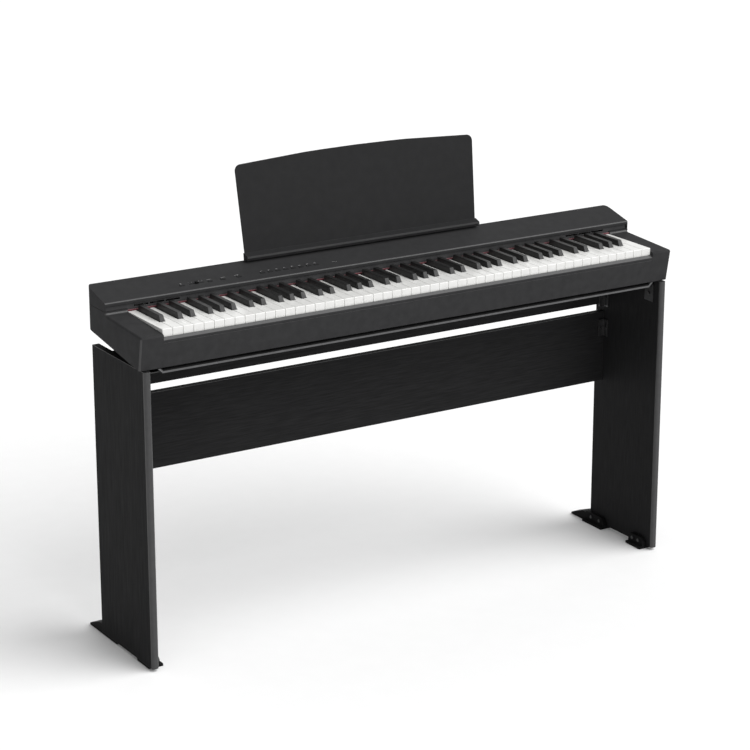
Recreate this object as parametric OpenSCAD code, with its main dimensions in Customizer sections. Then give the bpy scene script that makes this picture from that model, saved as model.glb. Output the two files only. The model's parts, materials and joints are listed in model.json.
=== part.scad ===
// Digital piano on a two-sided board stand.
// Frame: +X to the player's right, +Y away from the player, +Z up, millimetres.
// The origin is on the floor, under the middle of the whole object.

/* [Keyboard case] */
// Width of the keyboard case
case_w = 1326; // [1310:1:1360]
// Depth of the keyboard case
case_d = 250; // [246:1:256]
// Height of the control panel's front edge
lip_z = 753; // [751:0.5:756]
// Slope of the control panel, in degrees
panel_slope = 14.5; // [12:0.5:16]
// Depth from the front face to the control panel
cheek_d = 160; // [158:1:164]
// Wall thickness of the plastic case
wall = 3; // [2.5:0.5:3.5]

/* [Keys] */
// Width of one white key with its gap
key_pitch = 23.5; // [23.3:0.1:23.6]
// Gap between neighbouring white keys
key_gap = 1; // [0.8:0.1:1.2]
// Height of the white keys' tops
key_top = 728.5; // [728:0.5:730]
// Length of a white key in front of the black keys
head_len = 50; // [48:1:52]
// Length of a black key's cap
black_len = 97; // [92:1:98]
// Width of a black key's cap at its base
black_w = 11.8; // [10:0.1:12]
// Height of a black key above the white keys
black_h = 12; // [10:0.5:13]

/* [Stand] */
// Width over the two side boards
stand_w = 1312; // [1300:1:1316]
// Height of the side boards' top edges
side_top = 646; // [640:1:647]
// Depth of the side boards
side_d = 236; // [230:1:240]
// Thickness of the boards
board_t = 16; // [15:0.5:18]
// Height of the lower edge of the back panel
panel_low = 362; // [340:1:380]
// Height of the back panel
panel_h = 168; // [140:1:175]
// Gap between the back panel and the upper rail
rail_gap = 19; // [15:1:25]
// Height of the upper rail
rail_h = 63; // [50:1:65]
// Thickness of a foot under a side board
foot_t = 6; // [5:0.5:8]
// Reach of a rear foot behind its side board
foot_reach = 62; // [50:1:70]

/* [Music rest] */
// Width of the music rest at its base
rest_w = 592; // [560:1:620]
// Height of the plate above its ledge
rest_h = 188; // [170:1:200]
// Lean of the music rest from upright, in degrees
rest_lean = 8; // [6:0.5:10]

/* [Buttons] */
// Width of a push button
button_w = 11; // [9:0.5:13]
// Depth of a push button
button_d = 5; // [4:0.5:6]
// Distance between the sound buttons
button_pitch = 18.7; // [17:0.1:20]

/* [Hidden] */
$fn = 48;

case_colour = [0.20, 0.20, 0.205];
board_colour = [0.15, 0.15, 0.155];
foot_colour = [0.04, 0.04, 0.04];
steel_colour = [0.10, 0.10, 0.11];
white_colour = [0.93, 0.93, 0.91];
black_colour = [0.16, 0.16, 0.165];
felt_colour = [0.42, 0.05, 0.09];

// Depths: the object runs from the case's front face to the tips of the rear feet
board_set_back = 4;
total_d = board_set_back + side_d + foot_reach;
case_y0 = -total_d / 2;
case_y1 = case_y0 + case_d;
side_y0 = case_y0 + board_set_back;
side_y1 = side_y0 + side_d;
lip_y = case_y0 + cheek_d;

// Heights of the case
case_low = 648;
tray_low = 637;
front_high = 716;
front_rake = 12;
ledge_z = 713;
cheek_low = 720;
cheek_high = key_top - 0.5;
deck_z = key_top + 6;
seam_z = 702;
rear_top = 760;
back_low = 683;
frame_z = 686;

// The case's rear corners are round when seen from above
corner_r = 24;

// Control panel: a line between the nose and the rounded back edge
nose_r = 3;
back_r = 7;
nose_y = lip_y + nose_r;
nose_z = lip_z - nose_r;
back_y = case_y1 - back_r;
back_z = nose_z + (nose_r - back_r + (back_y - nose_y) * sin(panel_slope)) / cos(panel_slope);

// Keys: 52 white and 36 black, the first is A0
white_count = 52;
keys_x0 = -white_count * key_pitch / 2;
keys_w = white_count * key_pitch;
key_front = case_y0 + 8.5;
pivot_y = case_y0 + 217;
pivot_z = 712;
pivot_r = 3;
saddle_r = 3.08;
key_back = pivot_y + 14;
head_low = 710;
tail_low = 714;
key_wall = 1.6;
key_skin = 2.4;
black_front = key_front + head_len;

// Cheeks are as wide as the case leaves beside the keys
cheek_x = keys_w / 2 + 0.6;
half_w = case_w / 2;
side_in = stand_w / 2 - board_t;
tray_x = side_in - 28;
tray_chamfer = 16;
tray_front = case_y0 + 19;

// Music rest: it stands in a slot near the panel's back edge
rest_y = back_y - 6;
rest_t = 4;
rest_base_z = back_z + (rest_y - back_y) * tan(panel_slope) + back_r / cos(panel_slope);
ledge_h = 18;
ledge_d = 14;
tongue = 9;

// Buttons, from the left end: their places along X
power_x = -474;
volume_x = -440;
function_x = -408;
metronome_x = -378;
record_x = -340;
sound_x = -283;
button_row = 22;
button_gap = 0.35;
button_proud = 1;
knob_travel = 15;

// Sockets in the back wall, their places along X
phone_xs = [465, 500];
pedal_x = 425;
usb_x = 385;
power_inlet_x = 350;
socket_z = 748;
socket_len = 20;
socket_wall = 3;
jack_r = 3.25;
inlet_r = 3;

speaker_x = 470;
speaker_y = case_y0 + 128;
screw_xs = [-520, -180, 180, 520];
screw_ys = [case_y0 + 40, case_y0 + 200];

// ---------- outlines and helpers ----------

// Points on an arc about c, from angle a0 to a1
function arc(c, r, a0, a1, n = 6) =
    [for (i = [0:n]) c + r * [cos(a0 + (a1 - a0) * i / n), sin(a0 + (a1 - a0) * i / n)]];

// Y of the raked front face at height z
function front_y(z) = case_y0 + (front_high - z) * front_rake / (front_high - case_low);

// The case seen from above, shrunk by t at the back and the ends
module case_plan(t) {
    r = corner_r - t;
    x = half_w - t - r;
    y = case_y1 - corner_r;
    translate([0, 0, tray_low])
        linear_extrude(200)
            polygon(concat(
                [[-x - r, case_y0 - 1], [x + r, case_y0 - 1]],
                arc([x, y], r, 0, 90, 8),
                arc([-x, y], r, 90, 180, 8)
            ));
}

// Extrudes an outline drawn in Y and Z along X
module along_x(x0, x1) {
    translate([x0, 0, 0])
        rotate([90, 0, 90])
            linear_extrude(x1 - x0)
                children();
}

// Extrudes an outline drawn in X and Z along Y
module along_y(y0, y1) {
    translate([0, y1, 0])
        rotate([90, 0, 0])
            linear_extrude(y1 - y0)
                children();
}

// Places a child on the control panel: x, distance up the slope, surface at z = 0
module on_panel(x, v) {
    translate([x, nose_y, nose_z])
        rotate([panel_slope, 0, 0])
            translate([0, v, nose_r])
                children();
}

// Places a child in the music rest's own frame: upright along its lean
module on_rest() {
    translate([0, rest_y, rest_base_z])
        rotate([-rest_lean, 0, 0])
            children();
}

module both_sides() {
    children();
    mirror([1, 0, 0])
        children();
}

// A box given by its two corners
module block(a, b) {
    translate(a)
        cube(b - a);
}

// A round bar along X
module bar_x(x0, x1, y, z, r) {
    translate([x0, y, z])
        rotate([0, 90, 0])
            cylinder(r = r, h = x1 - x0);
}

// A round bar along Y
module bar_y(y0, y1, x, z, r) {
    translate([x, y0, z])
        rotate([-90, 0, 0])
            cylinder(r = r, h = y1 - y0);
}

// ---------- stand ----------

edge_r = 6;

module side_board() {
    x1 = stand_w / 2;
    translate([0, 0, foot_t])
        linear_extrude(side_top - foot_t)
            union() {
                translate([side_in, side_y0 + edge_r])
                    square([board_t, side_d - edge_r]);
                translate([side_in + edge_r, side_y0])
                    square([board_t - 2 * edge_r, edge_r + 1]);
                translate([side_in + edge_r, side_y0 + edge_r])
                    circle(edge_r);
                translate([x1 - edge_r, side_y0 + edge_r])
                    circle(edge_r);
            }
}

module left_side_board() {
    color(board_colour)
        mirror([1, 0, 0])
            side_board();
}

module right_side_board() {
    color(board_colour)
        side_board();
}

panel_y = side_y1 - 31;
rail_low = panel_low + panel_h + rail_gap;

module back_panel() {
    color(board_colour)
        block([-side_in, panel_y, panel_low], [side_in, panel_y + board_t, panel_low + panel_h]);
}

module upper_rail() {
    color(board_colour)
        block([-side_in, panel_y, rail_low], [side_in, panel_y + board_t, rail_low + rail_h]);
}

foot_w = 34;
upright_t = 11;
upright_h = 26;

// A foot: a plate under the board and an upright against its inner face
module foot(y0, y1) {
    x1 = stand_w / 2 - 1;
    block([x1 - foot_w, y0, 0], [x1, y1, foot_t]);
    along_x(side_in - upright_t, side_in)
        polygon([
            [y0, foot_t - 0.5], [y1, foot_t - 0.5], [y1, upright_h - 6], [y1 - 6, upright_h],
            [y0 + 10, upright_h], [y0, upright_h - 10]
        ]);
}

// The tail that a rear foot sticks out behind its board
module foot_tail() {
    tip = side_y1 + foot_reach;
    x1 = stand_w / 2 - 1;
    along_x(x1 - foot_w + 8, x1)
        polygon(concat(
            [[side_y1 + 0.3, 0], [tip - 3, 0]],
            arc([tip - 3, 3], 3, -90, 60, 5),
            [[side_y1 + 18, 22], [side_y1 + 0.3, 23]]
        ));
}

module rear_feet() {
    color(foot_colour)
        both_sides() {
            foot(side_y1 - 66, side_y1 + 8);
            foot_tail();
        }
}

module front_feet() {
    color(foot_colour)
        both_sides()
            foot(side_y0 + 20, side_y0 + 74);
}

// Steel angles that carry the case, and angles that tie the rail and panel to the sides
bracket_ys = [case_y0 + 28, case_y0 + 175];
bracket_w = 30;
bracket_t = 2.5;
tie_w = 16;

module carrier(y) {
    block([side_in - bracket_t, y, tray_low - 42], [side_in, y + bracket_w, tray_low]);
    block([side_in - 44, y, tray_low - bracket_t], [side_in, y + bracket_w, tray_low]);
}

module tie(z0, z1) {
    block([side_in - bracket_t, panel_y - tie_w, z0], [side_in, panel_y, z1]);
    block([side_in - tie_w, panel_y - bracket_t, z0], [side_in, panel_y, z1]);
}

module stand_brackets() {
    color(steel_colour)
        both_sides() {
            for (y = bracket_ys)
                carrier(y);
            tie(rail_low - 6, rail_low + 30);
            tie(panel_low + 110, panel_low + 150);
        }
}

screw_r = 2;
screw_head_r = 3.8;

// A wood screw along +X whose head starts at x
module side_screw(x, y, z) {
    bar_x(x, x + 2, y, z, screw_head_r);
    bar_x(x + 1, x + 14, y, z, screw_r);
}

// A wood screw along +Y whose head starts at y
module rear_screw(x, y, z) {
    bar_y(y, y + 2, x, z, screw_head_r);
    bar_y(y + 1, y + 12, x, z, screw_r);
}

module stand_screws() {
    color(steel_colour)
        both_sides() {
            for (y = bracket_ys)
                side_screw(side_in - bracket_t - 2, y + bracket_w / 2, tray_low - 24);
            for (z = [rail_low + 18, panel_low + 130]) {
                side_screw(side_in - bracket_t - 2, panel_y - 9, z);
                rear_screw(side_in - 9, panel_y - bracket_t - 2, z);
            }
            for (y = [side_y1 - 50, side_y1 - 18, side_y0 + 36, side_y0 + 58])
                side_screw(side_in - upright_t - 2, y, 17);
        }
}

// ---------- keyboard case ----------

tray_back = case_y1 - 7;
tray_top = 690;

// The tray's outline seen from the front, shrunk by t on every wall
module tray_front_outline(t, top) {
    x = tray_x - 0.41 * t;
    polygon([
        [-x, tray_low + t], [x, tray_low + t],
        [tray_x + tray_chamfer - t, tray_low + tray_chamfer + 0.41 * t],
        [tray_x + tray_chamfer - t, top], [-tray_x - tray_chamfer + t, top],
        [-tray_x - tray_chamfer + t, tray_low + tray_chamfer + 0.41 * t]
    ]);
}

// The tray's outline seen from the side, shrunk by t on every wall
module tray_side_outline(t, top) {
    polygon([
        [tray_front + t, tray_low + t], [tray_back - t, tray_low + t],
        [case_y1 - t, tray_low + 35], [case_y1 - t, top], [tray_front + t, top]
    ]);
}

module tray_solid(t, top) {
    intersection() {
        along_y(case_y0, case_y1 + 1)
            tray_front_outline(t, top);
        along_x(-half_w, half_w)
            tray_side_outline(t, top);
    }
}

// The lip under the front rail, which turns up to the end blocks at both ends
module tray_lip() {
    h = 6.5;
    x = tray_x;
    c = case_low - tray_low - 0.4;
    along_y(case_y0 + 10, tray_front + 1)
        polygon([
            [-x, tray_low], [x, tray_low], [x + c, tray_low + c], [x + c - 9, tray_low + c],
            [x - 0.41 * h, tray_low + h], [-x + 0.41 * h, tray_low + h],
            [-x - c + 9, tray_low + c], [-x - c, tray_low + c]
        ]);
}

// A plate that closes the bottom between the tray and an end block
module side_floor() {
    y1 = case_y1 - wall - 0.4;
    intersection() {
        along_x(tray_x + tray_chamfer - 1, half_w - wall - 0.4)
            polygon([
                [tray_front, case_low + 2], [y1, back_low + 1], [y1, back_low + 4],
                [tray_front, case_low + 5]
            ]);
        case_plan(wall + 0.4);
    }
}

module grille_cuts() {
    for (i = [-4:4])
        translate([speaker_x + i * 8 - 1.5, speaker_y - 26, tray_low - 1])
            cube([3, 52, wall + 2]);
}

module lower_case() {
    color(case_colour) {
        difference() {
            tray_solid(0, tray_top);
            tray_solid(wall, tray_top + 1);
            both_sides()
                grille_cuts();
        }
        tray_lip();
        both_sides()
            side_floor();
        for (x = screw_xs, y = screw_ys)
            translate([x, y, tray_low + 1])
                cylinder(r = 6, h = frame_z - tray_low - 1);
        block([-cheek_x + 0.4, case_y1 - wall, tray_top - 1],
              [cheek_x - 0.4, case_y1, seam_z - 0.3]);
    }
}

// Flat wall between the lower case and the control panel, with a hole for each socket
module rear_panel() {
    y0 = case_y1 - wall;
    color(case_colour)
        difference() {
            block([-cheek_x + 1.4, y0, seam_z], [cheek_x - 1.4, case_y1, rear_top]);
            for (x = concat(phone_xs, [pedal_x]))
                bar_y(y0 - 1, case_y1 + 1, x, socket_z, jack_r + 1.5);
            bar_y(y0 - 1, case_y1 + 1, power_inlet_x, socket_z, 5.5);
            block([usb_x - 7, y0 - 1, socket_z - 6.5], [usb_x + 7, case_y1 + 1, socket_z + 6.5]);
        }
}

// Key slip in front of the keys, with a chamfered ledge and a fine groove
module front_rail() {
    inner = key_front - 1.2;
    color(case_colour)
        along_x(-cheek_x + 0.1, cheek_x - 0.1)
            polygon([
                [inner, ledge_z], [inner - 2, ledge_z], [front_y(ledge_z - 5.5), ledge_z - 5.5],
                [front_y(702), 702], [front_y(702) + 0.8, 701.6], [front_y(701) + 0.8, 701],
                [front_y(700.6), 700.6], [front_y(case_low), case_low],
                [front_y(case_low) + 5.5, case_low], [front_y(case_low) + 5.5, case_low + 3],
                [front_y(case_low) + 4.2, case_low + 3], [inner, 698]
            ]);
}

module end_block_outline() {
    polygon(concat(
        [[front_y(case_low), case_low]],
        arc([case_y0 + 5, cheek_low - 5], 5, 180, 94, 5),
        [[lip_y - 6, cheek_high]],
        arc([lip_y - 6, cheek_high + 6], 6, -86, 0, 4),
        [[lip_y, deck_z], [case_y1, deck_z], [case_y1, back_low + 6], [case_y1 - 3, back_low]]
    ));
}

module end_block_cavity() {
    low = case_low - 40;
    polygon([
        [front_y(low) + wall, low], [front_y(front_high) + wall, front_high - 2],
        [case_y0 + 7, cheek_low - wall], [lip_y - 5, cheek_high - wall],
        [lip_y + wall, deck_z - wall], [case_y1 - wall, deck_z - wall], [case_y1 - wall, low]
    ]);
}

module end_block() {
    difference() {
        intersection() {
            along_x(cheek_x, half_w)
                end_block_outline();
            case_plan(0);
        }
        intersection() {
            along_x(cheek_x + wall, half_w - wall)
                end_block_cavity();
            case_plan(wall);
        }
        // the inner wall stops above the tray
        block([cheek_x - 1, tray_front - 0.4, case_low - 1],
              [cheek_x + wall + 1, case_y1 + 1, tray_top + 0.4]);
        // the back wall stops beside the tray
        block([cheek_x - 1, case_y1 - wall - 1, case_low - 1],
              [tray_x + tray_chamfer + 0.4, case_y1 + 1, tray_top + 0.4]);
    }
}

module left_end_block() {
    color(case_colour)
        mirror([1, 0, 0])
            end_block();
}

module right_end_block() {
    color(case_colour)
        end_block();
}

// The panel's skin in side view, down to height low on the back wall
module panel_skin(low) {
    n = 90 + panel_slope;
    polygon(concat(
        [[lip_y, nose_z - 5]],
        arc([nose_y, nose_z], nose_r, 180, n, 4),
        arc([back_y, back_z], back_r, n, 0, 6),
        [[case_y1, low], [case_y1 - wall, low]],
        arc([back_y, back_z], back_r - wall, 0, n, 6),
        [[nose_y, nose_z], [nose_y, nose_z - 5]]
    ));
}

module panel_end() {
    n = 90 + panel_slope;
    polygon(concat(
        [[lip_y, deck_z + 0.3], [lip_y, nose_z]],
        arc([nose_y, nose_z], nose_r, 180, n, 4),
        arc([back_y, back_z], back_r, n, 0, 6),
        [[case_y1, deck_z + 0.3]]
    ));
}

// The panel's end wall, which turns the rear corner into the back wall
module panel_end_wall() {
    intersection() {
        along_x(half_w - corner_r - 1, half_w)
            panel_end();
        difference() {
            case_plan(0);
            case_plan(wall);
        }
    }
}

module button_hole(x) {
    g = 2 * button_gap;
    on_panel(x, button_row)
        translate([-(button_w + g) / 2, -(button_d + g) / 2, -wall - 3])
            cube([button_w + g, button_d + g, wall + 6]);
}

function button_xs() = concat(
    [power_x, function_x, metronome_x, record_x],
    [for (i = [0:7]) sound_x + i * button_pitch]
);

module control_panel() {
    color(case_colour)
        difference() {
            union() {
                along_x(-cheek_x + 1, cheek_x - 1)
                    panel_skin(rear_top + 0.3);
                both_sides() {
                    intersection() {
                        along_x(cheek_x - 1, half_w - 1)
                            panel_skin(deck_z + 0.3);
                        case_plan(0);
                    }
                    panel_end_wall();
                }
            }
            for (x = button_xs())
                button_hole(x);
            on_panel(volume_x, button_row)
                translate([-knob_travel - 3, -1.2, -wall - 3])
                    cube([2 * knob_travel + 6, 2.4, wall + 6]);
            on_rest()
                translate([-rest_w / 2 + 4.5, -0.5, -20])
                    cube([rest_w - 9, rest_t + 1, 40]);
        }
}

// Strip below the panel's nose, slotted at both ends for the sound
module sound_slot_strip() {
    y0 = nose_y + 0.3;
    color(case_colour)
        difference() {
            union() {
                block([-cheek_x + 1, y0, key_top + 2], [cheek_x - 1, y0 + wall, nose_z - 0.5]);
                both_sides()
                    block([cheek_x - 2, y0, deck_z + 0.3],
                          [half_w - wall - 0.4, y0 + wall, nose_z - 0.5]);
            }
            both_sides()
                for (i = [0:2])
                    block([490 + i * 36, y0 - 1, deck_z + 2],
                          [523 + i * 36, y0 + wall + 1, deck_z + 6]);
        }
}

module key_felt() {
    color(felt_colour)
        block([-cheek_x + 1, lip_y + 0.3, key_top + 1.2], [cheek_x - 1, nose_y + 0.3, key_top + 3.4]);
}

// ---------- inside the case ----------

// Chassis: base plate, front stop rail and the round rail that the keys tilt on
module key_frame() {
    x = cheek_x - 2;
    color("dimgray") {
        block([-x, case_y0 + 24, frame_z], [x, key_back, frame_z + wall]);
        block([-x, case_y0 + 24, frame_z + 2], [x, case_y0 + 34, 700]);
        block([-x, pivot_y - 1.5, frame_z + 2], [x, pivot_y + 1.5, pivot_z]);
        bar_x(-x, x, pivot_y, pivot_z, pivot_r);
    }
}

// Main board under the buttons and the contact board under the keys
module circuit_boards() {
    color("darkgreen") {
        on_panel(0, 0) {
            block([-500, 12, -11], [-130, 50, -9.4]);
            for (x = button_xs())
                block([x - 3, button_row - 3, -9.5], [x + 3, button_row + 3, -7.8]);
            block([-300, 34, -9.5], [-276, 48, -7]);
            block([-240, 34, -9.5], [-228, 46, -7.4]);
        }
        block([-590, case_y0 + 92, frame_z + wall], [590, case_y0 + 128, frame_z + wall + 1.6]);
    }
}

module speaker() {
    rotate_extrude()
        polygon([
            [0, 8], [14, 5], [30, 1], [36, 0], [44, 0], [44, 3], [36, 3], [24, 18], [24, 30], [0, 30]
        ]);
}

module speakers() {
    color("darkslategray")
        both_sides()
            translate([speaker_x, speaker_y, tray_low + wall])
                speaker();
}

socket_y1 = case_y1 - 1;

// A round socket: a barrel through the rear panel and a flange behind it
module jack(x, r_in, r_out) {
    y0 = socket_y1 - socket_len;
    difference() {
        union() {
            bar_y(y0, socket_y1, x, socket_z, r_out);
            bar_y(case_y1 - wall - 2, case_y1 - wall, x, socket_z, r_out + 1.5);
        }
        bar_y(y0 + socket_wall, socket_y1 + 1, x, socket_z, r_in);
    }
}

module rear_sockets() {
    y0 = socket_y1 - socket_len;
    color("black") {
        for (x = concat(phone_xs, [pedal_x]))
            jack(x, jack_r, jack_r + 1.2);
        jack(power_inlet_x, inlet_r, inlet_r + 2);
        difference() {
            block([usb_x - 6.5, y0, socket_z - 6], [usb_x + 6.5, socket_y1, socket_z + 6]);
            block([usb_x - 4.5, y0 + socket_wall, socket_z - 4],
                  [usb_x + 4.5, socket_y1 + 1, socket_z + 4]);
        }
    }
}

module rubber_feet() {
    color("black")
        both_sides()
            for (y = [case_y0 + 38, case_y0 + 210])
                translate([tray_x - 50, y, tray_low - 4])
                    cylinder(r = 10, h = 4);
}

module case_screws() {
    color(steel_colour)
        for (x = screw_xs, y = screw_ys)
            translate([x, y, tray_low - 1.6]) {
                cylinder(r = screw_head_r, h = 1.6);
                cylinder(r = screw_r, h = frame_z + wall - tray_low + 1.6);
            }
}

// ---------- parts that move on the case ----------

rest_top_w = rest_w + 8;
rest_crown = 10;
crown_r = (pow(rest_top_w / 2, 2) + pow(rest_crown, 2)) / (2 * rest_crown);

// Front view of the plate: wider at the top, with a shallow arch and round corners
module rest_outline() {
    r = 14;
    b = rest_w / 2 - 3;
    t = rest_top_w / 2;
    h = ledge_h + rest_h;
    intersection() {
        polygon(concat(
            [[-b, 3.5], [b, 3.5]],
            arc([t - r, h - r], r, 0, 80, 6),
            [[0, h + rest_crown + 5]],
            arc([-t + r, h - r], r, 100, 180, 6)
        ));
        translate([0, h + rest_crown - crown_r])
            circle(crown_r, $fn = 360);
    }
}

module music_rest() {
    color(case_colour)
        on_rest() {
            translate([0, rest_t, 0])
                rotate([90, 0, 0])
                    linear_extrude(rest_t)
                        rest_outline();
            along_x(-rest_w / 2, rest_w / 2)
                polygon([
                    [-ledge_d + 4, 1.5], [rest_t, 2.8], [rest_t, ledge_h], [0, ledge_h],
                    [-ledge_d, ledge_h - 7], [-ledge_d, ledge_h - 11]
                ]);
            block([-rest_w / 2 + 6, 0.3, -tongue], [rest_w / 2 - 6, rest_t - 0.3, 5]);
        }
}

// A cap in its hole, a flange below the panel and a stem over its switch
module push_button(x) {
    color("black")
        on_panel(x, button_row) {
            block([-button_w / 2, -button_d / 2, -wall - 0.6],
                  [button_w / 2, button_d / 2, button_proud]);
            block([-button_w / 2 - 1.2, -button_d / 2 - 1.2, -wall - 1.6],
                  [button_w / 2 + 1.2, button_d / 2 + 1.2, -wall - 0.4]);
            block([-1.5, -1.5, -6.4], [1.5, 1.5, -wall - 1]);
        }
}

module volume_knob() {
    color("black")
        on_panel(volume_x, button_row) {
            block([-3.5, -3, 0.3], [3.5, 3, 4]);
            block([-1.5, -0.9, -6], [1.5, 0.9, 1]);
            block([-4, -3, -6], [4, 3, -wall - 0.4]);
        }
}

// ---------- keys ----------

// Pitch class of key n, counted from A0 = 0: C is 0 and B is 11
function pitch_class(n) = (n + 9) % 12;
function octave_of(n) = floor((n + 9) / 12);
whites_below = [0, 1, 1, 2, 2, 3, 4, 4, 5, 5, 6, 6];
sharps = [1, 3, 6, 8, 10];
function is_sharp(n) = len([for (s = sharps) if (s == pitch_class(n)) s]) > 0;
// White keys left of key n; A0 is the first
function white_index(n) = octave_of(n) * 7 + whites_below[pitch_class(n)] - 5;
// Left edge of the octave that holds key n
function octave_x(n) = keys_x0 + (octave_of(n) * 7 - 5) * key_pitch;
// Behind the heads, C to E share three pitches and F to B share four
slot_a = 3 * key_pitch / 5;
slot_b = 4 * key_pitch / 7;
function slot_lo(n) = let (p = pitch_class(n))
    octave_x(n) + (p < 5 ? p * slot_a : 3 * key_pitch + (p - 5) * slot_b);
function slot_w(n) = pitch_class(n) < 5 ? slot_a : slot_b;
first_key = 0;
last_key = 87;

module saddle_cut(x0, x1) {
    bar_x(x0 - 1, x1 + 1, pivot_y, pivot_z, saddle_r);
}

// A white key: hollow head and tail, and a solid saddle over the round rail
module white_key(n) {
    g = key_gap / 2;
    hx0 = keys_x0 + white_index(n) * key_pitch + g;
    hx1 = hx0 + key_pitch - key_gap;
    tx0 = n == first_key ? hx0 : max(hx0, slot_lo(n) + g);
    tx1 = n == last_key ? hx1 : min(hx1, slot_lo(n) + slot_w(n) - g);
    difference() {
        union() {
            block([hx0, key_front, head_low], [hx1, black_front - 1, key_top]);
            block([tx0, key_front + 1, tail_low], [tx1, key_back, key_top]);
            block([tx0, pivot_y - 12, pivot_z + 0.4], [tx1, key_back, key_top]);
        }
        block([hx0 + key_wall, key_front + key_skin, head_low - 1],
              [hx1 - key_wall, black_front - 1 - key_wall, key_top - key_skin]);
        block([tx0 + key_wall, key_front + key_skin + 2, head_low - 1],
              [tx1 - key_wall, pivot_y - 16, key_top - key_skin]);
        saddle_cut(tx0, tx1);
    }
}

// A black key: a cap with sloping front and sides on a hollow body
module black_key(n) {
    cx = slot_lo(n) + slot_w(n) / 2;
    x0 = cx - black_w / 2;
    x1 = cx + black_w / 2;
    top = key_top + black_h;
    body_top = key_top - 0.6;
    cap_end = black_front + black_len;
    difference() {
        union() {
            intersection() {
                along_x(x0, x1)
                    polygon([
                        [black_front, body_top - 1], [black_front + 0.6, key_top + 1],
                        [black_front + 7, top], [cap_end, top], [cap_end, body_top - 1]
                    ]);
                along_y(black_front, cap_end)
                    polygon([
                        [x0, body_top - 1], [x1, body_top - 1], [x1 - 1, top], [x0 + 1, top]
                    ]);
            }
            block([x0, black_front + 1, tail_low], [x1, key_back, body_top]);
            block([x0, pivot_y - 12, pivot_z + 0.4], [x1, key_back, body_top]);
        }
        block([x0 + key_wall, black_front + 3, head_low - 1],
              [x1 - key_wall, pivot_y - 16, key_top - key_skin]);
        saddle_cut(x0, x1);
    }
}

module white_keys(first, last) {
    color(white_colour)
        for (n = [first:last])
            if (!is_sharp(n))
                white_key(n);
}

module black_keys(first, last) {
    color(black_colour)
        for (n = [first:last])
            if (is_sharp(n))
                black_key(n);
}

left_side_board();
right_side_board();
back_panel();
upper_rail();
rear_feet();
front_feet();
stand_brackets();
stand_screws();
lower_case();
front_rail();
left_end_block();
right_end_block();
control_panel();
sound_slot_strip();
key_felt();
key_frame();
circuit_boards();
speakers();
rear_panel();
rear_sockets();
rubber_feet();
case_screws();
music_rest();
volume_knob();
push_button(power_x);  // power_button
push_button(function_x);  // function_button
push_button(metronome_x);  // metronome_button
push_button(record_x);  // record_button
push_button(sound_x);  // sound_button_1
push_button(sound_x + button_pitch);  // sound_button_2
push_button(sound_x + 2 * button_pitch);  // sound_button_3
push_button(sound_x + 3 * button_pitch);  // sound_button_4
push_button(sound_x + 4 * button_pitch);  // sound_button_5
push_button(sound_x + 5 * button_pitch);  // sound_button_6
push_button(sound_x + 6 * button_pitch);  // sound_button_7
push_button(sound_x + 7 * button_pitch);  // sound_button_8
white_keys(0, 14);  // octave_1_white_keys
black_keys(0, 14);  // octave_1_black_keys
white_keys(15, 26);  // octave_2_white_keys
black_keys(15, 26);  // octave_2_black_keys
white_keys(27, 38);  // octave_3_white_keys
black_keys(27, 38);  // octave_3_black_keys
white_keys(39, 39);  // key_c4
black_keys(40, 40);  // key_c_sharp4
white_keys(41, 41);  // key_d4
black_keys(42, 42);  // key_d_sharp4
white_keys(43, 43);  // key_e4
white_keys(44, 44);  // key_f4
black_keys(45, 45);  // key_f_sharp4
white_keys(46, 46);  // key_g4
black_keys(47, 47);  // key_g_sharp4
white_keys(48, 48);  // key_a4
black_keys(49, 49);  // key_a_sharp4
white_keys(50, 50);  // key_b4
white_keys(51, 62);  // octave_5_white_keys
black_keys(51, 62);  // octave_5_black_keys
white_keys(63, 74);  // octave_6_white_keys
black_keys(63, 74);  // octave_6_black_keys
white_keys(75, 87);  // octave_7_white_keys
black_keys(75, 87);  // octave_7_black_keys
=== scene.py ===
# Looks of a digital piano on a board stand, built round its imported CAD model. Metres.

import json
import math

import bmesh
import bpy
from mathutils import Matrix, Vector


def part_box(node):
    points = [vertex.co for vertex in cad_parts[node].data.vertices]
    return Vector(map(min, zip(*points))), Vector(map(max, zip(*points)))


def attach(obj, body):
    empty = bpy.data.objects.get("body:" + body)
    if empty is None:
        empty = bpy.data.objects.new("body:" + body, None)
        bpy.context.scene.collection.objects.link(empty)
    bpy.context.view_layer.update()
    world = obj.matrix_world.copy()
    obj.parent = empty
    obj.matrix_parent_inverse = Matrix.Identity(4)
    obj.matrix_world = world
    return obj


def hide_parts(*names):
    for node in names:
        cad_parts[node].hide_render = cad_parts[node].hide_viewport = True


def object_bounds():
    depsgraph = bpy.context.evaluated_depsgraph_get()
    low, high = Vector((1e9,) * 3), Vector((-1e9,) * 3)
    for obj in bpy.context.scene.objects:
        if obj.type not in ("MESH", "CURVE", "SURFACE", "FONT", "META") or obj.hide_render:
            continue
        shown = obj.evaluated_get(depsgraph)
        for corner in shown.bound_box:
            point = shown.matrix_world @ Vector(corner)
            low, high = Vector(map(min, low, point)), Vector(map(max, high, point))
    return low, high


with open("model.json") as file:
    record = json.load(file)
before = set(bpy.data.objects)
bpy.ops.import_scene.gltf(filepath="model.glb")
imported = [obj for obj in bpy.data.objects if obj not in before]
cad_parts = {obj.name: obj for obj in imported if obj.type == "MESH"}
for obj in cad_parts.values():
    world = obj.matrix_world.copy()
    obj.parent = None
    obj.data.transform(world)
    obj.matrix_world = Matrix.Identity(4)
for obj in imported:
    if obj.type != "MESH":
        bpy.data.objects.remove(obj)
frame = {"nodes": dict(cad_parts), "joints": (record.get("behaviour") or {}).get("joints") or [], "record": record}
cad_low, cad_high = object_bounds()

MM = 0.001
CASE = "case_and_stand"
# Faces that meet at more than this angle have a sharp edge between them
SHARP = math.radians(35)
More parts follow.
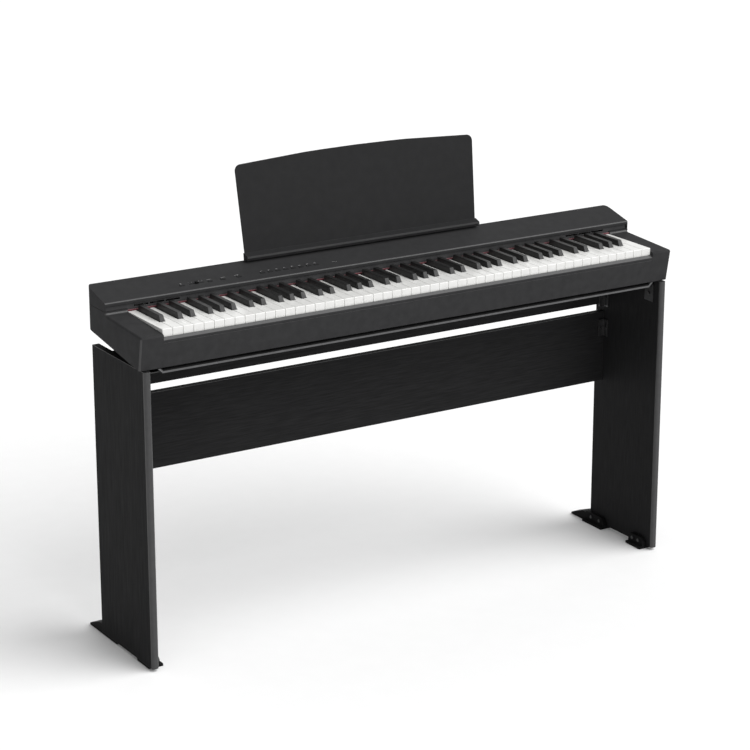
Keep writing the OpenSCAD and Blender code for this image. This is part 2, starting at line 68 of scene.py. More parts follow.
# A mesh's material slots: its plain look, and a painted-light look: lighter with painted highlights on edges and
# fronts, or darker with painted shade on the fronts of white keys
PLAIN = 0
PAINTED_LIGHT = 1
# A face leans towards an axis, or faces it squarely, when its normal has this much of it
LEANING = 0.3
SQUARE = 0.9
# An edge runs along an axis when this much of its length does
STRAIGHT = 0.98
# Vertices closer to a plane than this lie on it
NEAR = 0.1 * MM

nodes = frame["nodes"]
record = frame["record"]
slot_of = {part["node"]: part["material_slot"] for part in record["subparts"]}
body_of = {n: body for body, names in record["behaviour"]["bodies"].items() for n in names}
joint_axis = {j["name"]: Vector(j["axis"]) for j in frame["joints"]}


# ---------- camera, floor and light ----------

CAMERA_YAW = math.radians(32.0)
CAMERA_PITCH = math.radians(17.35)
CAMERA_DISTANCE = 5.385
CAMERA_LENS = 118.5
CAMERA_CLIP = 200
# The middle of the picture lies a little left of the object's own middle
AIM_OFFSET = Vector((-0.018, 0.011, 0.002))
# Strength of the even light from all sides, and the angle that each soft sun fills
DOME = 0.4
SUN_SPREAD = math.radians(70)
FLOOR_HALF = 30.0


def look_at(obj, target):
    """Turns a camera or light so that it faces target."""
    obj.rotation_euler = (target - obj.location).to_track_quat("-Z", "Y").to_euler()


def add_object(name, data):
    """Puts a new object that holds data into the scene."""
    obj = bpy.data.objects.new(name, data)
    bpy.context.scene.collection.objects.link(obj)
    return obj


def make_camera():
    """A long lens that looks down on the object from the front, left of its middle."""
    target = (cad_low + cad_high) / 2 + AIM_OFFSET
    view = Vector((
        math.sin(CAMERA_YAW) * math.cos(CAMERA_PITCH),
        math.cos(CAMERA_YAW) * math.cos(CAMERA_PITCH),
        -math.sin(CAMERA_PITCH),
    ))
    camera = add_object("camera", bpy.data.cameras.new("camera"))
    camera.data.lens = CAMERA_LENS
    camera.data.clip_end = CAMERA_CLIP
    camera.location = target - view * CAMERA_DISTANCE
    look_at(camera, target)
    bpy.context.scene.camera = camera


def make_world():
    """An even dome, plain white where the camera sees it above the floor."""
    world = bpy.data.worlds.new("studio")
    bpy.context.scene.world = world
    world.use_nodes = True
    tree = world.node_tree
    sky = tree.nodes["Background"].inputs
    sky["Color"].default_value = (1, 1, 1, 1)
    seen = tree.nodes.new("ShaderNodeMapRange")
    seen.inputs["To Min"].default_value = DOME
    seen.inputs["To Max"].default_value = 1.0
    rays = tree.nodes.new("ShaderNodeLightPath")
    tree.links.new(rays.outputs["Is Camera Ray"], seen.inputs["Value"])
    tree.links.new(seen.outputs["Result"], sky["Strength"])


def make_sun(name, place, energy):
    """A very soft distant light that shines from place towards the origin."""
    sun = bpy.data.lights.new(name, "SUN")
    sun.energy = energy
    sun.angle = SUN_SPREAD
    lamp = add_object(name, sun)
    lamp.location = place
    look_at(lamp, Vector((0, 0, 0)))


def make_lights():
    """The main light comes from the front right, a weak one from behind."""
    make_sun("key_light", place=Vector((1.9, -2.4, 3.0)), energy=3.45)
    make_sun("back_light", place=Vector((2.0, 3.0, 1.6)), energy=0.35)


def make_floor():
    """White paper that reaches far beyond the picture."""
    half = FLOOR_HALF
    mesh = bpy.data.meshes.new("floor")
    corners = [(-half, -half, 0), (half, -half, 0), (half, half, 0), (-half, half, 0)]
    mesh.from_pydata(corners, [], [(0, 1, 2, 3)])
    floor = add_object("floor", mesh)
    look = Look("floor_paper", 0.9, Specular_IOR_Level=0.1)
    look.colour(look.noise(0.05), (0.89, 0.89, 0.89), (0.9, 0.9, 0.9))
    mesh.materials.append(look.material)


# ---------- materials ----------

# Most of a noise pattern lies between these values
PATTERN_LOW = 0.3
PATTERN_HIGH = 0.7
# Specular level of a surface that hardly mirrors the light
MATT = 0.04


class Look:
    """A Principled material with the few nodes that its pattern needs."""

    def __init__(self, name, roughness, **sockets):
        """Sets further sockets of the shader, named with _ in place of a space."""
        self.material = bpy.data.materials.new(name)
        self.material.use_nodes = True
        self.tree = self.material.node_tree
        self.shader = self.tree.nodes["Principled BSDF"]
        self.shader.inputs["Roughness"].default_value = roughness
        for socket, value in sockets.items():
            self.shader.inputs[socket.replace("_", " ")].default_value = value
        self.place = self.tree.nodes.new("ShaderNodeTexCoord").outputs["Object"]

    def noise(self, size, stretch=(1, 1, 1), detail=3.0):
        """Smooth noise whose features are about size across, longer where stretch is small."""
        mapping = self.tree.nodes.new("ShaderNodeMapping")
        mapping.inputs["Scale"].default_value = stretch
        self.tree.links.new(self.place, mapping.inputs["Vector"])
        texture = self.tree.nodes.new("ShaderNodeTexNoise")
        texture.inputs["Scale"].default_value = 1 / size
        texture.inputs["Detail"].default_value = detail
        self.tree.links.new(mapping.outputs["Vector"], texture.inputs["Vector"])
        return texture.outputs["Fac"]

    def cells(self, size):
        """Distance to the nearest of many scattered points, size apart."""
        texture = self.tree.nodes.new("ShaderNodeTexVoronoi")
        texture.inputs["Scale"].default_value = 1 / size
        self.tree.links.new(self.place, texture.inputs["Vector"])
        return texture.outputs["Distance"]

    def number(self, factor, low, high):
        """Spreads the middle range of a pattern over low to high."""
        ramp = self.tree.nodes.new("ShaderNodeMapRange")
        ramp.inputs["From Min"].default_value = PATTERN_LOW
        ramp.inputs["From Max"].default_value = PATTERN_HIGH
        ramp.inputs["To Min"].default_value = low
        ramp.inputs["To Max"].default_value = high
        self.tree.links.new(factor, ramp.inputs["Value"])
        return ramp.outputs["Result"]

    def colour(self, factor, low, high):
        """Base colour that runs from low to high with factor."""
        mix = self.tree.nodes.new("ShaderNodeMix")
        mix.data_type = "RGBA"
        mix.inputs["A"].default_value = (*low, 1)
        mix.inputs["B"].default_value = (*high, 1)
        self.tree.links.new(self.number(factor, 0, 1), mix.inputs["Factor"])
        self.tree.links.new(mix.outputs["Result"], self.shader.inputs["Base Color"])

    def roughness(self, factor, low, high):
        """Roughness that runs from low to high with factor."""
        self.tree.links.new(self.number(factor, low, high), self.shader.inputs["Roughness"])

    def bump(self, height, depth):
        """Relief of the given depth."""
        node = self.tree.nodes.new("ShaderNodeBump")
        node.inputs["Distance"].default_value = depth
        self.tree.links.new(height, node.inputs["Height"])
        self.tree.links.new(node.outputs["Normal"], self.shader.inputs["Normal"])


def grey(value, tint=1.03):
    """A near-neutral colour, a little bluer than it is red."""
    return (value, value, value * tint)


def moulded_plastic(name, dark, light, rough, grain=0.8 * MM):
    """Plastic from a spark-eroded mould: fine even grain and faint larger clouds."""
    look = Look(name, rough, Specular_IOR_Level=MATT)
    look.colour(look.noise(18 * MM, detail=5), grey(dark), grey(light))
    look.roughness(look.noise(35 * MM), rough - 0.05, rough + 0.05)
    look.bump(look.noise(grain, detail=1), 0.03 * MM)
    return look.material


def painted_highlight(name, dark, light, level):
    """A lighter, glossier copy of a plastic or foil with a finer grain, a painted highlight; level is the shader's
    specular level.
    """
    look = Look(name, 0.35, Specular_IOR_Level=level)
    look.colour(look.noise(12 * MM, detail=5), grey(dark), grey(light))
    look.roughness(look.noise(6 * MM), 0.3, 0.42)
    look.bump(look.noise(2 * MM, detail=1), 0.02 * MM)
    return look.material


def laminate(name, grain):
    """Black foil with a faint wood grain; grain is small along the fibres."""
    look = Look(name, 0.6, Specular_IOR_Level=MATT)
    fibres = look.noise(2.2 * MM, grain, 4)
    look.colour(fibres, grey(0.012), grey(0.0195))
    look.roughness(look.noise(5 * MM, grain, 4), 0.55, 0.7)
    look.bump(fibres, 0.05 * MM)
    return look.material


def painted_steel():
    """Black paint, a little uneven, with a soft shine."""
    look = Look("black_steel", 0.35, Metallic=0.2, Coat_Weight=0.3, Coat_Roughness=0.25)
    look.colour(look.noise(6 * MM), grey(0.014), grey(0.024))
    look.roughness(look.noise(3 * MM), 0.3, 0.42)
    look.bump(look.noise(1.2 * MM, detail=1), 0.03 * MM)
    return look.material


def felt():
    """Dark red pile, with short fibres across the keys."""
    look = Look("red_felt", 0.95, Sheen_Weight=0.4, Sheen_Roughness=0.5)
    look.colour(look.noise(0.9 * MM, detail=5), (0.06, 0.002, 0.008), (0.17, 0.006, 0.019))
    look.bump(look.noise(0.4 * MM, (1, 3, 3), 4), 0.3 * MM)
    return look.material


def white_key():
    """Satin key plastic with very faint streaks from front to back."""
    look = Look("white_key", 0.24, Coat_Weight=0.25, Coat_Roughness=0.12)
    look.colour(look.noise(25 * MM, detail=4), (0.78, 0.778, 0.76), (0.82, 0.818, 0.80))
    look.roughness(look.noise(9 * MM, (1, 0.2, 1), 4), 0.2, 0.3)
    look.bump(look.noise(5 * MM, detail=1), 0.01 * MM)
    return look.material


def key_front():
    """The fronts of the white keys, rougher than their tops and darker as painted shade."""
    look = Look("key_front", 0.45)
    look.colour(look.noise(20 * MM, detail=4), (0.63, 0.628, 0.615), (0.67, 0.668, 0.655))
    look.roughness(look.noise(6 * MM), 0.4, 0.5)
    look.bump(look.noise(1.5 * MM, detail=1), 0.02 * MM)
    return look.material


def black_key():
    """Matt key plastic with a fine brushed texture from front to back."""
    look = Look("black_key", 0.42, Specular_IOR_Level=0.4)
    look.colour(look.noise(1.6 * MM, (1, 0.15, 1), 4), grey(0.008, 1), grey(0.017, 1))
    look.roughness(look.noise(4 * MM, (1, 0.2, 1)), 0.36, 0.5)
    look.bump(look.noise(0.7 * MM, (1, 0.25, 1), 2), 0.04 * MM)
    return look.material


def circuit_board():
    """Green solder resist, mottled like the tracks and parts below it."""
    look = Look("circuit_board", 0.3, Coat_Weight=0.4, Coat_Roughness=0.15)
    look.colour(look.cells(3 * MM), (0.004, 0.025, 0.011), (0.008, 0.045, 0.019))
    look.bump(look.cells(1.6 * MM), 0.05 * MM)
    return look.material


def speaker():
    """Rough paper cone."""
    look = Look("speaker", 0.8)
    look.colour(look.noise(1.5 * MM, detail=5), grey(0.012), grey(0.035))
    look.bump(look.noise(0.7 * MM, detail=4), 0.15 * MM)
    return look.material


def rubber():
    """Dull rubber, slightly pitted."""
    look = Look("rubber", 0.85, Specular_IOR_Level=0.25)
    look.colour(look.noise(2 * MM, detail=4), grey(0.010), grey(0.020))
    look.bump(look.noise(0.8 * MM, detail=3), 0.08 * MM)
    return look.material


def printed_ink():
    """Grey screen print."""
    look = Look("printed_ink", 0.6)
    look.colour(look.noise(1.0 * MM), (0.3, 0.3, 0.3), (0.45, 0.45, 0.45))
    return look.material


def bare_contact():
    """Plated spring metal, a little tarnished."""
    look = Look("bare_contact", 0.3, Metallic=1.0)
    look.colour(look.noise(2.0 * MM), (0.50, 0.47, 0.42), (0.62, 0.59, 0.54))
    look.roughness(look.noise(1.0 * MM), 0.2, 0.4)
    return look.material


upright_grain = laminate("upright_laminate", (1, 1, 0.05))
level_grain = laminate("level_laminate", (0.05, 1, 1))
# The plain look of each material slot of the CAD model
looks = {
    "case_plastic": moulded_plastic("case_plastic", 0.027, 0.033, 0.6),
    "rest_plastic": moulded_plastic("rest_plastic", 0.020, 0.0225, 0.65, 1.1 * MM),
    "board_laminate": upright_grain,
    "foot_plastic": moulded_plastic("foot_plastic", 0.005, 0.009, 0.5),
    "black_steel": painted_steel(),
    "red_felt": felt(),
    "frame_plastic": moulded_plastic("frame_plastic", 0.05, 0.08, 0.5),
    "circuit_board": circuit_board(),
    "speaker": speaker(),
    "socket_plastic": moulded_plastic("socket_plastic", 0.008, 0.012, 0.35, 0.5 * MM),
    "rubber": rubber(),
    "control_plastic": moulded_plastic("control_plastic", 0.020, 0.025, 0.5, 0.4 * MM),
    "white_key": white_key(),
    "black_key": black_key(),
}
# The painted-light look of some slots: lighter, glossier copies as painted highlights, and for white keys a darker
# copy as painted shade on their fronts
painted_light_looks = {
    "case_plastic": painted_highlight("case_painted_highlight", 0.031, 0.038, 0.4),
    "rest_plastic": painted_highlight("rest_painted_highlight", 0.026, 0.031, 0.3),
    "board_laminate": painted_highlight("laminate_painted_highlight", 0.024, 0.032, 0.5),
    "white_key": key_front(),
}
# Looks of single pieces that differ from the rest of their slot
panel_plastic = moulded_plastic("panel_plastic", 0.028, 0.032, 0.6)
# Painted light: the slotted strip is lighter than the case plastic where the panel's nose shades it
strip_painted_light = moulded_plastic("strip_painted_light", 0.045, 0.055, 0.6)
# Painted shade: the lower case is near black under the fascia
tray_painted_shade = moulded_plastic("underside_painted_shade", 0.006, 0.010, 0.6)
knob_plastic = moulded_plastic("knob_plastic", 0.006, 0.009, 0.3, 0.4 * MM)
# Painted highlight: a light line along the front of the tray's lip
lip_painted_highlight = painted_highlight("lip_painted_highlight", 0.06, 0.08, 0.5)
ink = printed_ink()
contact = bare_contact()


# ---------- shapes ----------

# Vertices closer than this are one, and faces that meet at less than this angle are one
WELD = 0.005 * MM
FLAT = math.radians(0.6)


def cad_shape(node):
    """A copy of a CAD node's shape, welded, with its flat faces whole again."""
    shape = bmesh.new()
    shape.from_mesh(nodes[node].data)
    bmesh.ops.remove_doubles(shape, verts=shape.verts, dist=WELD)
    bmesh.ops.dissolve_limit(shape, angle_limit=FLAT, verts=shape.verts, edges=shape.edges)
    return shape


def box_shape(low, high):
    """A plain block between two corners."""
    shape = bmesh.new()
    size = high - low
    place = Matrix.Translation((low + high) / 2) @ Matrix.Diagonal((*size, 1))
    bmesh.ops.create_cube(shape, size=1, matrix=place)
    return shape


def round_edges(shape, radius, steps=3, chosen=lambda edge: True, clamp=True, slot=PAINTED_LIGHT):
    """Rounds the sharp edges that chosen() picks. The new faces get the material in slot, by default the
    painted-light look, a painted highlight.
    """
    picked = [
        edge for edge in shape.edges
        if edge.is_manifold and edge.calc_face_angle(0) > SHARP and chosen(edge)
    ]
    bmesh.ops.bevel(
        shape, geom=picked, offset=radius, segments=steps, profile=0.5,
        affect="EDGES", clamp_overlap=clamp, material=slot,
    )


def dress(shape, chosen):
    """Gives the faces that chosen() picks the mesh's painted-light look: a painted highlight, or painted shade on
    white key fronts.
    """
    shape.normal_update()
    for face in shape.faces:
        if chosen(face.normal, face.calc_center_median()):
            face.material_index = PAINTED_LIGHT


def along(edge, axis):
    """True if an edge runs along the axis, 0 for X, 1 for Y and 2 for Z."""
    run = edge.verts[1].co - edge.verts[0].co
    return abs(run[axis]) > STRAIGHT * run.length


def above(height):
    """Chooses edges that lie higher than height."""
    return lambda edge: min(v.co.z for v in edge.verts) > height


def beside(distance):
    """Chooses edges that lie further from the middle plane than distance."""
    return lambda edge: min(abs(v.co.x) for v in edge.verts) > distance


def add_piece(shape, name, look, body, painted_light_look=None):
    """Turns a shape into a smooth-shaded piece that rides on body."""
    mesh = bpy.data.meshes.new(name)
    shape.to_mesh(mesh)
    shape.free()
    mesh.shade_smooth()
    mesh.set_sharp_from_angle(angle=SHARP)
    mesh.materials.append(look)
    mesh.materials.append(painted_light_look or look)
    piece = add_object(name, mesh)
    normals = piece.modifiers.new("normals", "WEIGHTED_NORMAL")
    normals.keep_sharp = True
    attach(piece, body)
    return piece


def stand_in(shape, node, name, look=None, painted_light_look=None):
    """Adds a shape as the piece that stands for a CAD node, by default in its slot's looks."""
    slot = slot_of[node]
    look = look or looks[slot]
    piece = add_piece(shape, name, look, body_of[node], painted_light_look or painted_light_looks.get(slot))
    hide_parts(node)
    return piece


# ---------- stand ----------

BOARD_FRONT_RADIUS = 6 * MM
BOARD_EDGE_RADIUS = 0.8 * MM


def side_boards():
    """Side boards with round front edges, with a painted highlight all over the front and on the rounded edges."""
    for side in ("left", "right"):
        node = side + "_side_board"
        low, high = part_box(node)
        shape = box_shape(low, high)
        round_edges(
            shape, BOARD_FRONT_RADIUS, 8,
            lambda e: along(e, 2) and e.verts[0].co.y < low.y + NEAR,
        )
        # Painted highlight: the whole front face gets the lighter laminate look
        dress(shape, lambda normal, centre: normal.y < -LEANING)
        round_edges(shape, BOARD_EDGE_RADIUS, 2)
        stand_in(shape, node, side + "_side_panel")


def cross_boards():
    """The back panel and the rail, whose grain runs from side to side, with a painted highlight on their rounded
    edges.
    """
    for node, name in (("back_panel", "back_board"), ("upper_rail", "upper_board")):
        shape = box_shape(*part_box(node))
        round_edges(shape, BOARD_EDGE_RADIUS, 2)
        stand_in(shape, node, name, level_grain)


def stand_hardware():
    """The feet and the steel angles."""
    for node, name, radius in (
        ("rear_feet", "rear_foot_mouldings", 1.2 * MM),
        ("front_feet", "front_foot_mouldings", 1.2 * MM),
        ("stand_brackets", "steel_angles", 0.4 * MM),
    ):
        shape = cad_shape(node)
        round_edges(shape, radius)
        stand_in(shape, node, name)


# ---------- case ----------

# Edges further from the middle plane than this lie on the case's outer ends
END_FACE = cad_high.x - 0.5 * MM
END_CORNER_RADIUS = 4.5 * MM
# How far the fillet at the back of an end block's cheek reaches in front of the panel
FILLET_REACH = 7 * MM
# Normals on the front corner have at least this much of X and of Y, and those on the fillet
# have this much of Z, from where it is steep to where it is nearly level
CORNER_LEAN = 0.2
FILLET_STEEP = 0.25
FILLET_LEVEL = 0.97
PANEL_END_RADIUS = 1.5 * MM
# How deep the rounded nose of the panel is, and how much of Z its upper faces' normals have
NOSE_DEPTH = 3.2 * MM
NOSE_UPWARD = 0.05
# The groove in the fascia, measured down from its ledge
GROOVE_TOP = 8 * MM
GROOVE_BOTTOM = 14 * MM
FASCIA_RADIUS = 0.5 * MM
# The tray's lip has its upper edge between these heights above the tray's lowest point
LIP_LOW = 6 * MM
LIP_HIGH = 8 * MM
LIP_RADIUS = 2.2 * MM
# Nearly crisp edges of shells and of thin trim
SHELL_RADIUS = 0.6 * MM
TRIM_RADIUS = 0.3 * MM
REST_RADIUS = 0.9 * MM
REST_LEDGE_DEPTH = 2 * MM


def end_mouldings():
    """The end blocks, with a painted highlight on the front corner and in the fillet behind the cheek."""
    # just outside the fascia's end, just below the panel, the fascia's top and the panel's front
    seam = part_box("front_rail")[1].x + MM
    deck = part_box("control_panel")[0].z - MM
    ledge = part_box("front_rail")[1].z
    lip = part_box("control_panel")[0].y

    def outer_rim(edge):
        """True on the front corner, the cheek and the fillet, but not on the thin lower rim."""
        return beside(END_FACE)(edge) and ledge < max(v.co.z for v in edge.verts) < deck

    def front_corner(normal, centre):
        """True on the upright faces that turn from the front to the side."""
        turned = abs(normal.x) > CORNER_LEAN and normal.y < -CORNER_LEAN
        return turned and abs(normal.z) < LEANING

    def fillet(normal, centre):
        """True on the hollow curve behind the cheek."""
        curved = normal.y < -LEANING and FILLET_STEEP < normal.z < FILLET_LEVEL
        return curved and centre.y > lip - FILLET_REACH

    for side in ("left", "right"):
        node = side + "_end_block"
        shape = cad_shape(node)
        round_edges(shape, END_CORNER_RADIUS, 6, outer_rim, clamp=False, slot=PLAIN)
        # Painted highlight: the front corner and the fillet get the lighter case look
        dress(shape, front_corner)
        dress(shape, fillet)
        round_edges(shape, SHELL_RADIUS, 2, beside(seam), slot=PLAIN)
        stand_in(shape, node, side + "_end_moulding")


def panel_moulding():
    """The control panel, with a painted highlight along its nose."""
    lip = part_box("control_panel")[0].y

    def nose(normal, centre):
        """True on the upper faces of the rounded front edge."""
        forward = normal.y < -LEANING and normal.z > NOSE_UPWARD
        return forward and centre.y < lip + NOSE_DEPTH

    shape = cad_shape("control_panel")
    # Painted highlight: the nose's upper faces get the lighter case look
    dress(shape, nose)
    round_edges(shape, PANEL_END_RADIUS, 4, beside(END_FACE), slot=PLAIN)
    round_edges(shape, TRIM_RADIUS, 2, slot=PLAIN)
    stand_in(shape, "control_panel", "control_panel_moulding", panel_plastic)


def fascia_moulding():
    """The front rail, with a painted highlight on its ledge and rounded edges, and a groove that stays crisp."""
    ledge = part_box("front_rail")[1].z

    def outside_groove(edge):
        return along(edge, 0) and not GROOVE_TOP < ledge - edge.verts[0].co.z < GROOVE_BOTTOM

    shape = cad_shape("front_rail")
    # Painted highlight: the ledge's upward faces get the lighter case look
    dress(shape, lambda normal, centre: normal.z > LEANING)
    round_edges(shape, FASCIA_RADIUS, 2, outside_groove)
    stand_in(shape, "front_rail", "front_rail_moulding")


def tray_moulding():
    """The lower case, dark as painted shade but for the front of its lip, which carries a painted highlight and
    whose upper edge is rounded off.
    """
    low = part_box("lower_case")[0]

    def lip_edges(edge):
        height = min(v.co.z for v in edge.verts) - low.z
        return max(v.co.y for v in edge.verts) < low.y + NEAR and LIP_LOW < height < LIP_HIGH

    shape = cad_shape("lower_case")
    dress(shape, lambda normal, centre: normal.y < -SQUARE and centre.y < low.y + MM)
    round_edges(shape, LIP_RADIUS, 4, lip_edges, slot=PLAIN)
    round_edges(shape, SHELL_RADIUS, 2, slot=PLAIN)
    stand_in(shape, "lower_case", "lower_case_moulding", tray_painted_shade, lip_painted_highlight)


def rear_mouldings():
    """The strip below the panel's front edge, lightened as painted light, the rear panel and the sockets in it;
    their rounded edges take the slot's painted highlight where it has one.
    """
    for node, name, radius, look in (
        ("sound_slot_strip", "slotted_strip", TRIM_RADIUS, strip_painted_light),
        ("rear_panel", "rear_panel_moulding", TRIM_RADIUS, None),
        ("rear_sockets", "socket_barrels", 0.25 * MM, None),
    ):
        shape = cad_shape(node)
        round_edges(shape, radius, 2)
        stand_in(shape, node, name, look)


def music_rest():
    """The music rest, with a painted highlight on the front of its lower ledge and on its rounded edges."""
    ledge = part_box("music_rest")[0].y

    def ledge_front(normal, centre):
        return normal.y < -LEANING and centre.y < ledge + REST_LEDGE_DEPTH

    shape = cad_shape("music_rest")
    # Painted highlight: the ledge front gets the lighter rest look
    dress(shape, ledge_front)
    round_edges(shape, REST_RADIUS)
    stand_in(shape, "music_rest", "music_rest_moulding")


# ---------- contacts in the sockets ----------

LATHE_STEPS = 24
# The power inlet's pin, and how far its tip stays behind the mouth of the inlet
PIN_RADIUS = 1.05 * MM
PIN_RECESS = 3 * MM
# A jack's sleeve: its wall and the bevel at its front, the gap to the bore, and how far it
# stays from the back and from the mouth of the bore
SLEEVE_WALL = 0.33 * MM
SLEEVE_BEVEL = 0.5 * MM
SLEEVE_GAP = 0.02 * MM
SLEEVE_BACK = 1 * MM
SLEEVE_RECESS = 4 * MM


def lathe(shape, profile, place):
    """Turns (radius, distance) points about the local Z axis and puts the result at place."""
    rings = []
    turns = [math.tau * i / LATHE_STEPS for i in range(LATHE_STEPS)]
    for radius, distance in profile:
        rings.append([
            shape.verts.new(place @ Vector((radius * math.cos(t), radius * math.sin(t), distance)))
            for t in turns
        ])
    for ring, other in zip(rings, rings[1:]):
        for i in range(LATHE_STEPS):
            j = (i + 1) % LATHE_STEPS
            shape.faces.new((ring[i], ring[j], other[j], other[i]))
    return rings


def add_pin(shape, length, place):
    """A round pin with a pointed tip, from the back of a bore to near its mouth."""
    tip = length / 2 - PIN_RECESS
    profile = (
        (PIN_RADIUS, -length / 2), (PIN_RADIUS, tip - PIN_RADIUS / 2), (PIN_RADIUS / 2, tip)
    )
    rings = lathe(shape, profile, place)
    shape.faces.new(rings[0][::-1])
    shape.faces.new(rings[-1])


def add_sleeve(shape, length, radius, place):
    """A thin metal tube just inside a bore."""
    back, front = -length / 2 + SLEEVE_BACK, length / 2 - SLEEVE_RECESS
    outer = radius - SLEEVE_GAP
    inner = outer - SLEEVE_WALL
    profile = (
        (outer, back), (outer, front), (inner, front - SLEEVE_BEVEL), (inner, back), (outer, back)
    )
    lathe(shape, profile, place)
    bmesh.ops.remove_doubles(shape, verts=shape.verts, dist=WELD)


def socket_contacts():
    """Sprung metal sleeves in the jacks and the pin of the power inlet."""
    for mount in record["mounts"]:
        if mount["kind"] != "bore":
            continue
        length = mount["dims"]["length_mm"] * MM
        radius = mount["dims"]["r_mm"] * MM
        turn = Vector(mount["axis"]).to_track_quat("Z", "Y").to_matrix().to_4x4()
        place = Matrix.Translation(mount["pos_m"]) @ turn
        shape = bmesh.new()
        if mount["name"] == "power_inlet":
            add_pin(shape, length, place)
        else:
            add_sleeve(shape, length, radius, place)
        bmesh.ops.recalc_face_normals(shape, faces=shape.faces)
        piece = add_piece(shape, mount["name"] + "_contact", contact, CASE)


# ---------- keys and controls ----------

WHITE_KEY_RADIUS = 0.8 * MM
BLACK_KEY_RADIUS = 1.6 * MM
CONTROL_RADIUS = 0.4 * MM
# How far above the white keys an edge lies that belongs to the black keys' tops
BLACK_KEY_RISE = 0.8 * MM


def white_caps(node, top):
    """Rounds the tops and front corners of white keys, and gives their fronts painted shade, a darker and rougher
    look.
    """
    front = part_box(node)[0].y

    def front_corners(edge):
        return along(edge, 2) and max(v.co.y for v in edge.verts) < front + NEAR

    shape = cad_shape(node)
    # Painted shade: the key fronts get the darker key look
    dress(shape, lambda normal, centre: normal.y < -SQUARE and centre.y < front + NEAR)
    round_edges(
        shape, WHITE_KEY_RADIUS,
        chosen=lambda e: above(top - NEAR)(e) or front_corners(e), slot=PLAIN,
    )
    stand_in(shape, node, node + "_caps")


def black_caps(node, white_top):
    """Rounds what stands above the white keys."""
    shape = cad_shape(node)
    round_edges(shape, BLACK_KEY_RADIUS, 4, above(white_top + BLACK_KEY_RISE))
    stand_in(shape, node, node + "_caps")


def keys():
    """Every node of keys."""
    white_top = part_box("key_c4")[1].z
    for node in nodes:
        if slot_of[node] == "white_key":
            white_caps(node, white_top)
        if slot_of[node] == "black_key":
            black_caps(node, white_top)


def controls():
    """The buttons and the volume slider's knob."""
    for node in nodes:
        if slot_of[node] == "control_plastic":
            shape = cad_shape(node)
            round_edges(shape, CONTROL_RADIUS)
            stand_in(shape, node, node + "_cap", knob_plastic if node == "volume_knob" else None)


# ---------- printed marks ----------

# How far a button's cap stands out of the panel
BUTTON_PROUD = 1 * MM
# Half the thickness of the ink, half of which lies in the panel, and a stroke's width
INK_HEIGHT = 0.04 * MM
INK_WIDTH = 0.5 * MM
RING_STEPS = 12
# How far up the panel the marks stand from the middle of the buttons
MARK_RISE = 7 * MM
# Distance between the marks along the volume slider
VOLUME_PITCH = 8 * MM
# How far to the right of the last button the double stroke stands
LAST_MARK_STEP = 45 * MM


class PanelMarks:
    """Thin strokes of ink on the control panel, placed by X and by the way up its slope."""

    def __init__(self):
        """Finds the panel's slope, surface and row of buttons from the power button."""
        self.shape = bmesh.new()
        self.normal = -joint_axis["power_button_press"]
        self.slope = Vector((0, self.normal.z, -self.normal.y))
        corners = [v.co for v in nodes["power_button"].data.vertices]
        top = max(c.dot(self.normal) for c in corners)
        self.surface = top - BUTTON_PROUD
        caps = [c.dot(self.slope) for c in corners if c.dot(self.normal) > top - NEAR]
        self.row = (min(caps) + max(caps)) / 2

    def point(self, x, up, height):
        """The point at x, up from the row of buttons and height above the surface, in metres."""
        return (
            Vector((x, 0, 0)) + self.slope * (self.row + up)
            + self.normal * (self.surface + height)
        )

    def stroke(self, x, up, points):
        """A line through points, which are given in millimetres from x and up."""
        path = [Vector((x + px * MM, up + py * MM)) for px, py in points]
        left, right = [], []
        for before, here, after in zip(path[:1] + path, path, path[1:] + path[-1:]):
            run = (after - before).normalized()
            side = Vector((-run.y, run.x)) * INK_WIDTH / 2
            left.append(here + side)
            right.append(here - side)
        outline = left + right[::-1]
        low = [self.shape.verts.new(self.point(*p, -INK_HEIGHT)) for p in outline]
        high = [self.shape.verts.new(self.point(*p, INK_HEIGHT)) for p in outline]
        last = len(outline) - 1
        for i in range(len(path) - 1):
            for layer in (low, high):
                self.shape.faces.new((layer[i], layer[i + 1], layer[last - i - 1], layer[last - i]))
        for i in range(last + 1):
            j = (i + 1) % (last + 1)
            self.shape.faces.new((low[i], low[j], high[j], high[i]))

    def ring(self, x, up, radius, start=0, end=360):
        """An arc about x and up, with its radius in millimetres and its ends in degrees."""
        step = (end - start) / RING_STEPS
        turns = [math.radians(start + step * i) for i in range(RING_STEPS + 1)]
        self.stroke(x, up, [(radius * math.cos(t), radius * math.sin(t)) for t in turns])


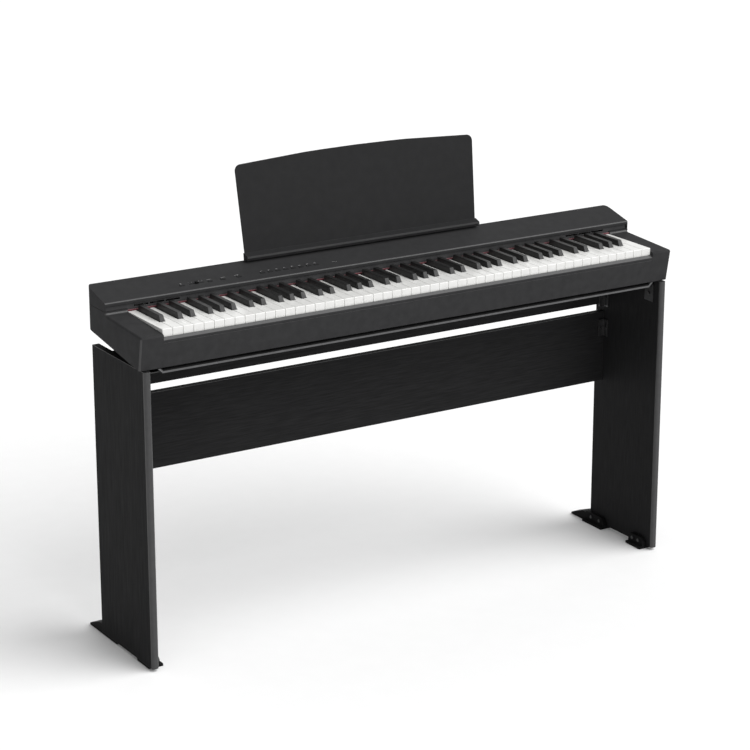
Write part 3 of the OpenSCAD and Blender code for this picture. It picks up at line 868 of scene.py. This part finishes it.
def panel_marks():
    """Plain signs beside the controls: no lettering, only strokes, rings and a wedge."""
    marks = PanelMarks()
    middle = {
        node: (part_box(node)[0].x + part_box(node)[1].x) / 2
        for node in nodes if slot_of[node] == "control_plastic"
    }
    # a broken ring with a stroke through its gap
    power = middle["power_button"]
    marks.ring(power, MARK_RISE, 1.5, 120, 420)
    marks.stroke(power, MARK_RISE, [(0, 0.6), (0, 2.1)])
    # strokes that grow from left to right over the slider
    for i in range(5):
        x = middle["volume_knob"] + (i - 2) * VOLUME_PITCH
        marks.stroke(x, MARK_RISE, [(0, -0.4 - 0.25 * i), (0, 0.4 + 0.25 * i)])
    # a line, a wedge and a ring, joined by short lines
    marks.stroke(middle["function_button"], MARK_RISE, [(-5, 0), (5, 0)])
    beat = middle["metronome_button"]
    marks.stroke(beat, MARK_RISE, [(-1.6, -1.5), (0, 1.7), (1.6, -1.5), (-1.6, -1.5)])
    marks.stroke(beat, MARK_RISE, [(3.5, 0), (8, 0)])
    record_x = middle["record_button"]
    marks.ring(record_x, MARK_RISE, 1.3)
    marks.stroke(record_x, MARK_RISE, [(-8, 0), (-3.5, 0)])
    # a full stroke over each sound button, and a shorter one whose length tells them apart
    for i in range(8):
        x = middle[f"sound_button_{i + 1}"]
        marks.stroke(x, MARK_RISE, [(-2.5, 0.9), (2.5, 0.9)])
        marks.stroke(x, MARK_RISE, [(-2.5, -0.7), (-1 + 0.4 * i, -0.7)])
    # a double stroke in the row, right of the last button
    x = middle["sound_button_8"] + LAST_MARK_STEP
    marks.stroke(x, 0, [(-6, 0), (1, 0)])
    marks.stroke(x, 0, [(3, 0), (6, 0)])
    bmesh.ops.recalc_face_normals(marks.shape, faces=marks.shape.faces)
    piece = add_piece(marks.shape, "panel_marks", ink, CASE)


def inner_parts():
    """CAD nodes that keep their own shape get their material here."""
    for node, obj in nodes.items():
        if not obj.hide_render:
            obj.data.materials.clear()
            obj.data.materials.append(looks[slot_of[node]])


make_camera()
make_world()
make_lights()
make_floor()
side_boards()
cross_boards()
stand_hardware()
end_mouldings()
panel_moulding()
fascia_moulding()
tray_moulding()
rear_mouldings()
music_rest()
keys()
controls()
socket_contacts()
panel_marks()
inner_parts()

bpy.context.scene.view_settings.view_transform = "Standard"
